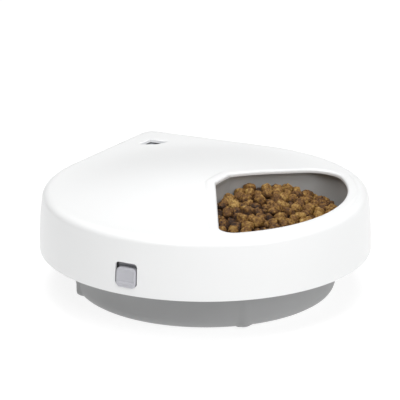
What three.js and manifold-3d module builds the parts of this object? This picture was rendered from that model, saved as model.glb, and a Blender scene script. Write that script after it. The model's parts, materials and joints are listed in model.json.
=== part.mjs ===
// Rotary pet feeder: a round lid with one pointed corner, a bowl with three compartments that
// turns under it, a timer in the corner and a geared motor under the hub of the bowl.
// Millimetres, +Z up, +Y towards the pointed corner, resting on z = 0.
import * as THREE from 'three';
import { mergeVertices } from 'three/addons/utils/BufferGeometryUtils.js';
import Module from 'manifold-3d';

const wasm = await Module();
wasm.setup();

// ---------------------------------------------------------------- driving dimensions
const GAP = 0.3;                 // clearance between pieces that rest on each other
const TOP = 92.9;                // height of the lid's flat top edge
const DOME = 12.3;               // rise of the lid over the bowl's axis
const SKIRT_RADIUS = 150;        // lid radius at the bottom of its skirt
const SKIRT_MIDDLE = { radius: 149.3, z: 64 };
const SKIRT_BOTTOM = 40;
const LID_WALL = 2.5;
const TOP_RADIUS = 138.5;        // radius at which the top meets the shoulder
const SHOULDER = 7.5;            // radius of the rounded shoulder
const LID_TIP = { centre: 176, less: 131.5 };   // corner arc: its distance, radius less this
const BASE_TIP = { centre: 150, less: 106 };    // the same for the lower housing
const LID_LIP = 3;               // depth of the turned-down edge round the lid's openings
const CORNER_STEPS = 4;          // facets of a teardrop outline's corner and of its round part
const ROUND_STEPS = 34;

const BASE_BOTTOM = 2;
const BASE_TOP = 43;             // upper face of the base's flange
const FLANGE = 2.5;
const FLANGE_RADIUS = 145.2;
const RIM_RADIUS = 139.5;        // upright rim that carries the lid
const RIM_TOP = 72;
const RIM_WALL = 2;
// [radius, height] up the lower housing's outer and inner faces
const BASE_PROFILE = [[112, BASE_BOTTOM], [115.3, 3.3], [117.4, 5.8], [118.3, 9.6], [121.5, 41]];
const BASE_INSIDE = [[108, 4.5], [113.5, 6.5], [115.9, 12], [119, 44]];
const FOOT_BEARINGS = { front: -90, left: 180, right: 0 };
const LOBE = { reach: 112, radius: 8, bevel: 2 };    // upright half-round lobes over the feet
const FOOT = { reach: 105.5, radius: 6, recess: 0.8, play: 0.4, rear: 135 };

const COMPARTMENTS = 3;
const SERVING_BEARING = -46;     // bearing of the lid's opening from +X
const OPENING_HALF_ANGLE = 59.5;
const BOWL_RADIUS = 134.5;
const BOWL_RIM = 88.2;           // height of the bowl's rim
const BOWL_DOME = 11.6;
const BOWL_WALL = 2;
const BOWL_FLOOR = 46.5;
const POCKET_DRAFT = 7;          // inset of a compartment's floor from its mouth

const DECK_BOTTOM = 26;
const DECK_TOP = 28;
const DECK_RADIUS = 110.6;
const POST = { reach: 105.5, radius: 4.2, bore: 1.8 };
const SCREW = { head: 3, shank: 1.4, hole: 1.9 };
const ICE = { outer: 101, inner: 56, top: 41.5, round: 2 };
const HUB = { radius: 12, bottom: 41, socket: 9.3, socketTop: 62.3 };

const GEARBOX = { x: -7, y: -13, radius: 35.7, wall: 2, floor: 4.8, top: 32.7 };
const MODULE = 1;                // gear tooth size
const TEETH = { pinion: 10, wheel: 28, output: 36 };
const BACKLASH_GAP = 0.12;       // extra centre distance of each gear pair

const CELL = { radius: 7.1, length: 50, pitch: 14.7, count: 4, height: 12.7, y: 88 };
const BAY = { halfX: 26.4, halfY: 29.8, wall: 1.6, bottom: 4.8, ceiling: 21 };
const DOOR = { bottom: 2.3, top: 4.3, hinge: 1 };

const TIMER = { radius: 136.8, inner: 137.8, wall: 2, bottom: 43.3, top: 86 };
const DISPLAY = { x: -7, y: 146, halfWidth: 15, toTip: 12, toBowl: 5.4 };
const LENS_TOP = 2.8;            // above the timer housing
const BOARD_BOTTOM = 73;
const BOARD_TOP = 74.6;
const KEYS = { set: [20, 149], hour: [31, 142.6], minute: [-31, 142.6], test: [1, 170] };

const LATCH_BEARINGS = { left: 226.5, right: 46.5 };
const LATCH_WINDOW = { halfWidth: 10.2, bottom: 46.3, top: 68.6, corner: 3.4 };
const LATCH_BUTTON = { halfWidth: 9.6, bottom: 46.7, top: 64.2, corner: 3.4, front: 151.8 };
const LATCH_PIVOT = { radius: 143.6, z: 56, pin: 1, halfLength: 13.6 };

// ---------------------------------------------------------------- materials
const PALETTE = {
  white: { color: 0xf4f4f3, roughness: 0.32, metalness: 0 },
  grey: { color: 0x8d8e8d, roughness: 0.6, metalness: 0 },
  latchGrey: { color: 0xb3b2b9, roughness: 0.5, metalness: 0 },
  black: { color: 0x24262a, roughness: 0.5, metalness: 0 },
  nylon: { color: 0xe6e0cf, roughness: 0.5, metalness: 0 },
  steel: { color: 0xb9bcc0, roughness: 0.3, metalness: 1 },
  brass: { color: 0xc8a45a, roughness: 0.3, metalness: 1 },
  rubber: { color: 0x3b3c3e, roughness: 0.9, metalness: 0 },
  ice: { color: 0x5f95c9, roughness: 0.4, metalness: 0 },
  board: { color: 0x1f6b3d, roughness: 0.5, metalness: 0 },
  lens: { color: 0xd9dbe2, roughness: 0.1, metalness: 0 },
  cell: { color: 0x30343a, roughness: 0.35, metalness: 0.3 },
};

const feeder = new THREE.Group();
const group = new THREE.Group();
const reach = LID_TIP.centre + SKIRT_RADIUS - LID_TIP.less;
feeder.position.y = -(reach - SKIRT_RADIUS) / 2;   // the footprint's middle is the origin
group.add(feeder);

// ---------------------------------------------------------------- solids
function weld(geometry) {
  const bare = geometry.index ? geometry.toNonIndexed() : geometry.clone();
  bare.deleteAttribute('normal');
  bare.deleteAttribute('uv');
  return mergeVertices(bare, 1e-4);
}

// A manifold solid with its faces pointing out, whichever way the geometry was wound.
function solid(geometry) {
  const welded = weld(geometry);
  const points = welded.attributes.position;
  const corners = Array.from(welded.index.array);
  const kept = [];
  let volume = 0;
  const a = new THREE.Vector3();
  const b = new THREE.Vector3();
  const c = new THREE.Vector3();
  for (let i = 0; i < corners.length; i += 3) {
    const [p, q, r] = corners.slice(i, i + 3);
    if (p === q || q === r || r === p) continue;
    a.fromBufferAttribute(points, p);
    b.fromBufferAttribute(points, q);
    c.fromBufferAttribute(points, r);
    volume += a.dot(b.cross(c));
    kept.push(p, q, r);
  }
  if (volume < 0) kept.reverse();
  return new wasm.Manifold(new wasm.Mesh({
    numProp: 3,
    vertProperties: new Float32Array(points.array),
    triVerts: new Uint32Array(kept),
  }));
}

function join(first, ...others) {
  return others.reduce((sum, other) => sum.add(other), first);
}

function cut(first, ...others) {
  return others.reduce((rest, other) => rest.subtract(other), first);
}

function piece(name, shape, material) {
  const mesh = shape.getMesh();
  const geometry = new THREE.BufferGeometry();
  const stride = mesh.numProp;
  const count = mesh.vertProperties.length / stride;
  const positions = new Float32Array(count * 3);
  for (let i = 0; i < count; i += 1) {
    for (let axis = 0; axis < 3; axis += 1) {
      positions[i * 3 + axis] = mesh.vertProperties[i * stride + axis];
    }
  }
  geometry.setAttribute('position', new THREE.BufferAttribute(positions, 3));
  geometry.setIndex(new THREE.BufferAttribute(new Uint32Array(mesh.triVerts), 1));
  geometry.computeVertexNormals();
  const object = new THREE.Mesh(geometry, new THREE.MeshStandardMaterial(PALETTE[material]));
  object.name = name;
  feeder.add(object);
  return object;
}

// An upright prism over an outline of Vector2 points.
function prism(outline, bottom, top) {
  const shape = new THREE.Shape(outline);
  const geometry = new THREE.ExtrudeGeometry(shape, { depth: top - bottom, bevelEnabled: false });
  geometry.translate(0, 0, bottom);
  return solid(geometry);
}

// A solid of revolution about +Z from [radius, height] pairs.
function turned(profile, segments = 48, x = 0, y = 0) {
  const points = profile.map(([r, z]) => new THREE.Vector2(r, z));
  const geometry = new THREE.LatheGeometry(points, segments);
  geometry.rotateX(Math.PI / 2);
  geometry.translate(x, y, 0);
  return solid(geometry);
}

function disc(radius, bottom, top, x = 0, y = 0, segments = 20) {
  return turned([[0, bottom], [radius, bottom], [radius, top], [0, top]], segments, x, y);
}

function block(low, high) {
  const size = high.map((value, i) => value - low[i]);
  const middle = high.map((value, i) => (value + low[i]) / 2);
  const geometry = new THREE.BoxGeometry(...size);
  geometry.translate(...middle);
  return solid(geometry);
}

// A skin through rings of equal length, lowest first; apex closes the top with one point.
function loft(rings, apex = null) {
  const count = rings[0].length;
  const positions = [];
  const index = [];
  rings.forEach((ring) => ring.forEach((p) => positions.push(p.x, p.y, p.z)));
  for (let level = 0; level + 1 < rings.length; level += 1) {
    for (let i = 0; i < count; i += 1) {
      const a = level * count + i;
      const b = level * count + ((i + 1) % count);
      index.push(a, b, b + count, a, b + count, a + count);
    }
  }
  const close = (level, upward) => {
    const flat = rings[level].map((p) => new THREE.Vector2(p.x, p.y));
    THREE.ShapeUtils.triangulateShape(flat, []).forEach(([p, q, r]) => {
      const turnedUp = [level * count + p, level * count + q, level * count + r];
      index.push(...(upward ? turnedUp : turnedUp.reverse()));
    });
  };
  close(0, false);
  if (apex) {
    positions.push(apex.x, apex.y, apex.z);
    const last = (rings.length - 1) * count;
    for (let i = 0; i < count; i += 1) {
      index.push(last + i, last + ((i + 1) % count), rings.length * count);
    }
  } else {
    close(rings.length - 1, true);
  }
  const geometry = new THREE.BufferGeometry();
  geometry.setAttribute('position', new THREE.Float32BufferAttribute(positions, 3));
  geometry.setIndex(index);
  return solid(geometry);
}

// Sets a prism drawn in (sideways, up) on end, facing outward at a bearing.
function facing(outline, innerRadius, outerRadius, bearing) {
  const shape = new THREE.Shape(outline);
  const depth = outerRadius - innerRadius;
  const geometry = new THREE.ExtrudeGeometry(shape, { depth, bevelEnabled: false });
  const angle = THREE.MathUtils.degToRad(bearing);
  const outward = new THREE.Vector3(Math.cos(angle), Math.sin(angle), 0);
  const up = new THREE.Vector3(0, 0, 1);
  const sideways = new THREE.Vector3().crossVectors(up, outward);
  geometry.translate(0, 0, innerRadius);
  geometry.applyMatrix4(new THREE.Matrix4().makeBasis(sideways, up, outward));
  return solid(geometry);
}

// ---------------------------------------------------------------- outlines
function arcPoints(x, y, radius, from, to, steps) {
  return Array.from({ length: steps + 1 }, (_, i) => {
    const angle = THREE.MathUtils.degToRad(from + ((to - from) * i) / steps);
    return new THREE.Vector2(x + radius * Math.cos(angle), y + radius * Math.sin(angle));
  });
}

// A circle drawn out to a rounded corner at +Y, wrapped by two straight sides.
function teardrop(radius, tip) {
  const half = THREE.MathUtils.radToDeg(Math.asin(tip.less / tip.centre));
  const corner = arcPoints(0, tip.centre, radius - tip.less, half, 180 - half, CORNER_STEPS);
  const round = arcPoints(0, 0, radius, 180 - half, 360 + half, ROUND_STEPS);
  const between = (from, to) => from.clone().lerp(to, 0.5);
  return [
    ...corner,
    between(corner[CORNER_STEPS], round[0]),
    ...round,
    between(round[ROUND_STEPS], corner[0]),
  ];
}

function ringAt(outline, height) {
  return outline.map((p) => new THREE.Vector3(p.x, p.y, height));
}

function roundedRectangle(halfWidth, bottom, top, corner, x = 0) {
  return [
    ...arcPoints(x + halfWidth - corner, bottom + corner, corner, -90, 0, 2),
    ...arcPoints(x + halfWidth - corner, top - corner, corner, 0, 90, 2),
    ...arcPoints(x - halfWidth + corner, top - corner, corner, 90, 180, 2),
    ...arcPoints(x - halfWidth + corner, bottom + corner, corner, 180, 270, 2),
  ];
}

// A sector about the axis: straight edges set in from two radii, a chord near the hub and an
// outer arc, with rounded outer corners. Bearings are relative to the sector's middle line.
function sector({ halfAngle, inset, chord, outer, corners, bearing }) {
  const half = THREE.MathUtils.degToRad(halfAngle);
  const [first, last] = corners.map((radius) => {
    const reach = outer - radius;
    const middle = half - Math.asin((inset + radius) / reach);
    const degrees = THREE.MathUtils.radToDeg(middle);
    return { radius, degrees, x: reach * Math.cos(middle), y: reach * Math.sin(middle) };
  });
  const chordY = chord * Math.tan(half) - inset / Math.cos(half);
  const points = [
    new THREE.Vector2(chord, -chordY),
    ...arcPoints(first.x, -first.y, first.radius, -halfAngle - 90, -first.degrees, 4),
    ...arcPoints(0, 0, outer, -first.degrees, last.degrees, 9).slice(1, -1),
    ...arcPoints(last.x, last.y, last.radius, last.degrees, halfAngle + 90, 4),
    new THREE.Vector2(chord, chordY),
  ];
  const turn = THREE.MathUtils.degToRad(bearing);
  return points.map((p) => p.rotateAround(new THREE.Vector2(), turn));
}

// The display's kite: a long point to the lid's tip and a short one to the bowl.
function kite(grow) {
  const { x, y, halfWidth, toTip, toBowl } = DISPLAY;
  return [
    new THREE.Vector2(x + halfWidth + grow * 1.4, y),
    new THREE.Vector2(x, y + toTip + grow * 1.3),
    new THREE.Vector2(x - halfWidth - grow * 1.4, y),
    new THREE.Vector2(x, y - toBowl - grow),
  ];
}

// ---------------------------------------------------------------- lid
function lidTopHeight(radius) {
  const share = Math.min(1, radius / TOP_RADIUS);
  return TOP + DOME * (1 - share * share) ** 2;
}

// The lid's outer form, pulled in by an even thickness.
function lidForm(thickness) {
  const below = thickness ? 5 : 0;
  const skirt = [[SKIRT_RADIUS, SKIRT_BOTTOM - below], [SKIRT_MIDDLE.radius, SKIRT_MIDDLE.z]];
  const shoulderX = TOP_RADIUS;
  const shoulderZ = TOP - SHOULDER;
  const rings = skirt.map(([r, z]) => ringAt(teardrop(r - thickness, LID_TIP), z));
  for (const angle of [8, 34, 62]) {
    const turn = THREE.MathUtils.degToRad(angle);
    const r = shoulderX + SHOULDER * 1.15 * Math.cos(turn);
    const z = shoulderZ + SHOULDER * Math.sin(turn);
    rings.push(ringAt(teardrop(r - thickness, LID_TIP), z - thickness * Math.sin(turn)));
  }
  const edge = teardrop(TOP_RADIUS - thickness, LID_TIP);
  for (const share of [1, 0.76, 0.52, 0.28]) {
    rings.push(edge.map((p) => {
      const q = p.clone().multiplyScalar(share);
      return new THREE.Vector3(q.x, q.y, lidTopHeight(q.length()) - thickness);
    }));
  }
  return loft(rings, new THREE.Vector3(0, 0, lidTopHeight(0) - thickness));
}

function lidRim(opening, wall, form) {
  const drop = form.subtract(form.translate(0, 0, -LID_LIP));
  return drop.intersect(prism(wall, TOP - 20, TOP + DOME + 5)).subtract(opening);
}

function servingOutline(grow) {
  return sector({
    halfAngle: OPENING_HALF_ANGLE,
    inset: 8.5 - grow,
    chord: 17.8 - grow,
    outer: 127.8 + grow,
    corners: [12.5 + grow, 23 + grow],
    bearing: SERVING_BEARING,
  });
}

function latchLug(side, bearing) {
  const outline = roundedRectangle(1.2, 52.5, 60, 0.8, side * 12.2);
  return facing(outline, 141.4, 148, bearing);
}

function makeLid() {
  const outer = lidForm(0);
  const shell = outer.subtract(lidForm(LID_WALL));
  const serving = prism(servingOutline(0), TOP - 20, TOP + DOME + 5);
  const display = prism(kite(0), TOP - 20, TOP + DOME + 5);
  const seat = cut(
    prism(teardrop(RIM_RADIUS, LID_TIP), RIM_TOP + GAP, TOP - 1.2),
    prism(teardrop(RIM_RADIUS - RIM_WALL, LID_TIP), RIM_TOP - 1, TOP),
  );
  let lid = join(
    shell,
    seat,
    lidRim(serving, servingOutline(2), outer),
    lidRim(display, kite(1.8), outer),
  );
  lid = cut(lid, serving, display);
  const window = roundedRectangle(
    LATCH_WINDOW.halfWidth,
    LATCH_WINDOW.bottom,
    LATCH_WINDOW.top,
    LATCH_WINDOW.corner,
  );
  for (const [side, bearing] of Object.entries(LATCH_BEARINGS)) {
    lid = join(lid, latchLug(-1, bearing), latchLug(1, bearing));
    lid = cut(lid, facing(window, 145, 155, bearing));
    lid = cut(lid, latchPin(bearing, LATCH_PIVOT.pin + 0.1, LATCH_PIVOT.halfLength + GAP));
    piece(`latch_pin_${side}`, latchPin(bearing, LATCH_PIVOT.pin, LATCH_PIVOT.halfLength), 'steel');
  }
  piece('lid', lid, 'white');
}

// ---------------------------------------------------------------- latches
// A pin across the latch, through both lugs.
function latchPin(bearing, radius, halfLength) {
  const geometry = new THREE.CylinderGeometry(radius, radius, 2 * halfLength, 16);
  geometry.translate(LATCH_PIVOT.radius, 0, LATCH_PIVOT.z);
  geometry.rotateZ(THREE.MathUtils.degToRad(bearing));
  return solid(geometry);
}

function makeLatch(side, bearing) {
  const { halfWidth, bottom, top, corner, front } = LATCH_BUTTON;
  const plate = roundedRectangle(halfWidth, bottom, top, corner);
  const button = facing(plate, 145.2, front, bearing);
  const groove = facing(roundedRectangle(11, 51, 51.8, 0.3), front - 0.6, front + 1.2, bearing);
  const back = facing(roundedRectangle(halfWidth - 1, 46.9, 62.6, 1.4), 142.8, 145.6, bearing);
  const toe = facing(roundedRectangle(8, 46.6, 48.4, 0.6), 141.4, 146, bearing);
  const tongue = facing(roundedRectangle(4, 60, 68.2, 0.8), 142.8, 144, bearing);
  const barrel = latchPin(bearing, 2.3, 10.4);
  const lever = join(button, back, toe, tongue, barrel);
  const bore = latchPin(bearing, LATCH_PIVOT.pin + 0.1, 20);
  piece(`latch_${side}`, cut(lever, groove, bore), 'latchGrey');
}

// ---------------------------------------------------------------- base
function baseForm(profile) {
  return loft(profile.map(([r, z]) => ringAt(teardrop(r, BASE_TIP), z)));
}

function polar(radius, bearing) {
  const angle = THREE.MathUtils.degToRad(bearing);
  return [radius * Math.cos(angle), radius * Math.sin(angle)];
}

const DECK_SCREWS = [35, 145, 215, 325].map((bearing) => polar(POST.reach, bearing));
const TIMER_SCREWS = [[39.2, 137.4], [-39.2, 137.4]];
const FEET = {
  front: polar(FOOT.reach, FOOT_BEARINGS.front),
  left: polar(FOOT.reach, FOOT_BEARINGS.left),
  right: polar(FOOT.reach, FOOT_BEARINGS.right),
  rear: [0, FOOT.rear],
};

function makeBase() {
  const lobes = Object.values(FOOT_BEARINGS).map((bearing) => {
    const [x, y] = polar(LOBE.reach, bearing);
    const { radius, bevel } = LOBE;
    const low = BASE_BOTTOM;
    const high = BASE_TOP - FLANGE + 0.5;
    const profile = [[0, low], [radius - bevel, low], [radius, low + bevel], [radius, high]];
    return turned([...profile, [0, high]], 16, x, y);
  });
  const flange = prism(teardrop(FLANGE_RADIUS, LID_TIP), BASE_TOP - FLANGE, BASE_TOP);
  const rim = cut(
    prism(teardrop(RIM_RADIUS, LID_TIP), BASE_TOP - 1, RIM_TOP),
    prism(teardrop(RIM_RADIUS - RIM_WALL, LID_TIP), BASE_TOP - 2, RIM_TOP + 1),
  );
  let base = join(baseForm(BASE_PROFILE), ...lobes, flange);
  base = cut(base, baseForm(BASE_INSIDE));
  base = join(base, rim);
  for (const [x, y] of DECK_SCREWS) {
    base = join(base, disc(POST.radius, BASE_BOTTOM + 1, DECK_BOTTOM - GAP, x, y, 20));
    base = cut(base, disc(POST.bore, 11, DECK_BOTTOM + 1, x, y, 12));
  }
  for (const [x, y] of TIMER_SCREWS) {
    base = cut(base, disc(SCREW.hole, BASE_TOP - 4, BASE_TOP + 1, x, y, 12));
  }
  for (const bearing of Object.values(LATCH_BEARINGS)) {
    base = join(base, facing(roundedRectangle(12, 49.2, 51.2, 0.5), 138.5, 141, bearing));
  }
  for (const [x, y] of Object.values(FEET)) {
    base = cut(base, disc(FOOT.radius + FOOT.play, 0, BASE_BOTTOM + FOOT.recess, x, y, 24));
  }
  const hatch = [-26, CELL.y - 29.4, BASE_BOTTOM - 1];
  base = cut(base, block(hatch, [26, CELL.y + 29.4, BASE_BOTTOM + 4]));
  base = cut(base, block(
    [-29.6, CELL.y - 29.4, BASE_BOTTOM - 1],
    [29.6, CELL.y - 26, BASE_BOTTOM + 4],
  ));
  piece('base_pan', base, 'grey');
  for (const [name, [x, y]] of Object.entries(FEET)) {
    piece(`foot_${name}`, disc(FOOT.radius, 0, BASE_BOTTOM + 0.5, x, y, 24), 'rubber');
  }
}

function makeDeck() {
  let deck = disc(DECK_RADIUS, DECK_BOTTOM, DECK_TOP, 0, 0, 40);
  const well = GEARBOX.radius + GEARBOX.wall + 0.8;
  deck = cut(deck, disc(well, DECK_BOTTOM - 1, DECK_TOP + 1, GEARBOX.x, GEARBOX.y, 32));
  for (const [x, y] of DECK_SCREWS) {
    deck = cut(deck, disc(SCREW.hole, DECK_BOTTOM - 1, DECK_TOP + 1, x, y, 12));
  }
  piece('base_deck', deck, 'grey');
  DECK_SCREWS.forEach(([x, y], i) => {
    const screw = join(
      disc(SCREW.head, DECK_TOP + GAP, DECK_TOP + 2, x, y, 16),
      disc(SCREW.shank, 12, DECK_TOP + 1, x, y, 12),
    );
    piece(`deck_screw_${i + 1}`, screw, 'steel');
  });
}

function icePack(name, from, to) {
  const outline = (inset) => [
    ...arcPoints(0, 0, ICE.outer - inset, from + inset, to - inset, 16),
    ...arcPoints(0, 0, ICE.inner + inset, to - inset, from + inset, 16),
  ];
  const bottom = DECK_TOP + GAP;
  const pack = loft([
    ringAt(outline(ICE.round), bottom),
    ringAt(outline(0), bottom + ICE.round),
    ringAt(outline(0), ICE.top - ICE.round),
    ringAt(outline(ICE.round), ICE.top),
  ]);
  piece(name, pack, 'ice');
}

// ---------------------------------------------------------------- bowl
function bowlHeight(radius) {
  const share = Math.min(1, radius / BOWL_RADIUS);
  return BOWL_RIM + BOWL_DOME * (1 - share * share) ** 2;
}

function pocketOutline(bearing, inset) {
  return sector({
    halfAngle: 180 / COMPARTMENTS,
    inset: 5 + inset,
    chord: 15.5 + inset * 0.8,
    outer: 131 - inset * 0.8,
    corners: [20, 20],
    bearing,
  });
}

function pocket(bearing, grow, floor, top) {
  const levels = [[POCKET_DRAFT + 5, floor], [POCKET_DRAFT, floor + 5], [0, BOWL_RIM], [0, top]];
  return loft(levels.map(([inset, z]) => ringAt(pocketOutline(bearing, inset - grow), z)));
}

function makeBowl() {
  const shares = [1, 0.76, 0.5, 0.25];
  const crown = shares.map((s) => [BOWL_RADIUS * s, bowlHeight(BOWL_RADIUS * s)]);
  const under = crown.map(([r, z]) => [r, z - BOWL_WALL]).reverse();
  const cap = turned([[0, bowlHeight(0) - BOWL_WALL], ...under, ...crown, [0, bowlHeight(0)]], 36);
  const below = turned([[0, 20], [BOWL_RADIUS, 20], ...crown, [0, bowlHeight(0)]], 36);
  const bearings = Array.from({ length: COMPARTMENTS }, (_, i) => (
    SERVING_BEARING + (i * 360) / COMPARTMENTS
  ));
  let bowl = cap;
  for (const bearing of bearings) {
    const skin = pocket(bearing, BOWL_WALL, BOWL_FLOOR - BOWL_WALL, BOWL_RIM + 12);
    bowl = join(bowl, skin.intersect(below));
  }
  bowl = join(bowl, disc(HUB.radius, HUB.bottom, bowlHeight(0) - 1, 0, 0, 32));
  for (const bearing of bearings) {
    bowl = cut(bowl, pocket(bearing, 0, BOWL_FLOOR, BOWL_RIM + 14));
  }
  bowl = cut(bowl, disc(HUB.socket, HUB.bottom - 1, HUB.socketTop, 0, 0, 6));
  piece('bowl', bowl, 'grey');
}

// ---------------------------------------------------------------- gears
const GEAR_PLACES = (() => {
  const pair = (a, b) => (MODULE * (a + b)) / 2 + BACKLASH_GAP;
  const step = (from, distance, degrees) => {
    const [x, y] = polar(distance, degrees);
    return [from[0] + x, from[1] + y];
  };
  const output = [0, 0];
  const second = step(output, pair(TEETH.pinion, TEETH.output), -90);
  const first = step(second, pair(TEETH.pinion, TEETH.wheel), 200);
  const motor = step(first, pair(TEETH.pinion, TEETH.wheel), 110);
  return { output, second, first, motor };
})();

function bearingBetween(from, to) {
  return THREE.MathUtils.radToDeg(Math.atan2(to[1] - from[1], to[0] - from[0]));
}

// A spur gear with a tooth centred on the given bearing.
function gear(teeth, bottom, top, place, toothBearing) {
  const pitch = (MODULE * teeth) / 2;
  const radii = { root: pitch - 1.1 * MODULE, tip: pitch + 0.85 * MODULE };
  const step = 360 / teeth;
  const widths = [[radii.root, 0.29], [radii.tip, 0.11]];
  const outline = [];
  for (let i = 0; i < teeth; i += 1) {
    const middle = toothBearing + i * step;
    const rise = widths.map(([r, share]) => [r, middle - share * step]);
    const fall = widths.map(([r, share]) => [r, middle + share * step]).reverse();
    for (const [r, degrees] of [...rise, ...fall]) {
      const [x, y] = polar(r, degrees);
      outline.push(new THREE.Vector2(place[0] + x, place[1] + y));
    }
  }
  return prism(outline, bottom, top);
}

// The bearing of a tooth on a gear whose gap faces a neighbour's tooth.
function halfToothOn(bearing, teeth) {
  return bearing + 180 / teeth;
}

function makeGears() {
  const { output, second, first, motor } = GEAR_PLACES;
  // Each pair meets tooth to gap: the smaller gear shows a tooth on the line of centres.
  const outputGear = cut(
    join(
      gear(TEETH.output, 25.2, 27.8, output, halfToothOn(bearingBetween(output, second), TEETH.output)),
      disc(7, 24.6, 28, 0, 0, 24),
    ),
    disc(4.3, 20, 32, 0, 0, 24),
  );
  piece('output_gear', outputGear, 'nylon');
  const secondShape = join(
    gear(TEETH.pinion, 24.3, 28.4, second, bearingBetween(second, output)),
    gear(TEETH.wheel, 22.2, 24.4, second, halfToothOn(bearingBetween(second, first), TEETH.wheel)),
  );
  piece('second_gear', cut(secondShape, disc(1.15, 20, 32, ...second, 16)), 'nylon');
  const firstShape = join(
    gear(TEETH.pinion, 21.5, 25.2, first, bearingBetween(first, second)),
    gear(TEETH.wheel, 19.6, 21.6, first, halfToothOn(bearingBetween(first, motor), TEETH.wheel)),
  );
  piece('first_gear', cut(firstShape, disc(1.15, 18, 32, ...first, 16)), 'nylon');
  const pinion = gear(TEETH.pinion, 19.4, 22.2, motor, bearingBetween(motor, first));
  piece('motor_pinion', cut(pinion, disc(1.3, 18, 24, ...motor, 16)), 'brass');
  piece('motor_shaft', disc(1, 10, 22.6, ...motor, 16), 'steel');
  piece('gear_pin_first', disc(1, 7, 32.4, ...first, 16), 'steel');
  piece('gear_pin_second', disc(1, 7, 32.4, ...second, 16), 'steel');
}

function makeDrive() {
  const { x, y, radius, wall, floor, top } = GEARBOX;
  const { second, first, motor } = GEAR_PLACES;
  let tray = cut(
    disc(radius + wall, floor, top, x, y, 32),
    disc(radius, floor + 1.6, top + 1, x, y, 32),
  );
  tray = join(tray, disc(7, floor, 12, 0, 0, 24));
  for (const place of [second, first]) tray = join(tray, disc(3, floor, 18.6, ...place, 16));
  tray = cut(tray, disc(4.1, 6.6, 14, 0, 0, 24));
  for (const place of [second, first]) tray = cut(tray, disc(1.1, 6.8, 20, ...place, 16));
  tray = cut(tray, block([x - 45, y + 8, 8], [x - 32, y + 14, 14]));
  piece('gearbox_tray', tray, 'nylon');

  const motorBody = cut(
    join(disc(12.2, 6.8, 18.6, ...motor, 32), disc(3.2, 18, 19.1, ...motor, 24)),
    disc(1.15, 9.7, 20, ...motor, 16),
  );
  piece('drive_motor', motorBody, 'steel');

  let cover = join(
    disc(radius + wall, top + GAP, top + GAP + 2, x, y, 32),
    cut(
      disc(radius - GAP, top - 1.5, top + 1, x, y, 32),
      disc(radius - 2, top - 3, top + 2, x, y, 32),
    ),
  );
  cover = cut(cover, disc(6.3, top - 2, top + 4, 0, 0, 24));
  piece('gearbox_cover', cover, 'nylon');

  const bush = turned([[4.15, 32.2], [6, 32.2], [6, 35.3], [8, 35.3], [8, 37], [4.15, 37],
    [4.15, 32.2]], 24);
  piece('spindle_bush', bush, 'brass');

  const spindle = join(
    disc(4, 6.9, 40, 0, 0, 24),
    disc(9, 38, 62, 0, 0, 6),
  );
  piece('drive_spindle', spindle, 'nylon');

  let cam = cut(disc(10, 28.3, 30.3, 0, 0, 24), disc(4.3, 27, 32, 0, 0, 24));
  for (let i = 0; i < COMPARTMENTS; i += 1) {
    const notch = polar(10, SERVING_BEARING + (i * 360) / COMPARTMENTS);
    cam = cut(cam, disc(1.6, 27, 32, ...notch, 12));
  }
  piece('index_cam', cam, 'black');
  const lever = block([10.4, -2, 28.6], [11.2, 8, 30.4]);
  piece('index_switch', join(block([11, 0, 28.4], [16, 9, 32.4]), lever), 'black');
}

// ---------------------------------------------------------------- batteries
function lying(radius, from, to, y, z, segments = 20) {
  const geometry = new THREE.CylinderGeometry(radius, radius, to - from, segments);
  geometry.rotateZ(-Math.PI / 2);
  geometry.translate((from + to) / 2, y, z);
  return solid(geometry);
}

function makeBatteries() {
  const { halfX, halfY, wall, bottom, ceiling } = BAY;
  const bay = cut(
    block([-halfX - wall, CELL.y - halfY - wall, bottom], [halfX + wall, CELL.y + halfY + wall,
      ceiling + wall]),
    block([-halfX, CELL.y - halfY, bottom - 1], [halfX, CELL.y + halfY, ceiling]),
  );
  piece('battery_bay', bay, 'grey');
  for (let i = 0; i < CELL.count; i += 1) {
    const y = CELL.y + (i - (CELL.count - 1) / 2) * CELL.pitch;
    const way = i % 2 === 0 ? 1 : -1;
    const half = CELL.length / 2;
    const nub = [way * (half - 2), way * half].sort((a, b) => a - b);
    const can = [-half * way, (half - 1.2) * way].sort((a, b) => a - b);
    const cell = join(
      lying(CELL.radius, can[0], can[1], y, CELL.height),
      lying(2.6, nub[0], nub[1], y, CELL.height, 12),
    );
    piece(`battery_${i + 1}`, cell, 'cell');
  }
  for (const [side, way] of [['left', -1], ['right', 1]]) {
    const xs = [way * (CELL.length / 2 + 0.35), way * (halfX - GAP)].sort((a, b) => a - b);
    const plate = block([xs[0], CELL.y - halfY + 1, 6], [xs[1], CELL.y + halfY - 1, 19.5]);
    piece(`battery_contact_${side}`, plate, 'brass');
  }
  const near = CELL.y - 28.8;
  const door = join(
    block([-25.6, near, DOOR.bottom], [25.6, CELL.y + 28.9, DOOR.top]),
    lying(DOOR.hinge, -29.2, 29.2, near + DOOR.hinge, (DOOR.bottom + DOOR.top) / 2, 16),
  );
  piece('battery_door', door, 'grey');
}

// ---------------------------------------------------------------- timer
function timerOutline(inset) {
  const outer = prism(teardrop(TIMER.radius - inset, LID_TIP), TIMER.bottom - 5, TIMER.top);
  return cut(outer, disc(TIMER.inner + inset, 0, 120, 0, 0, 48));
}

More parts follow.
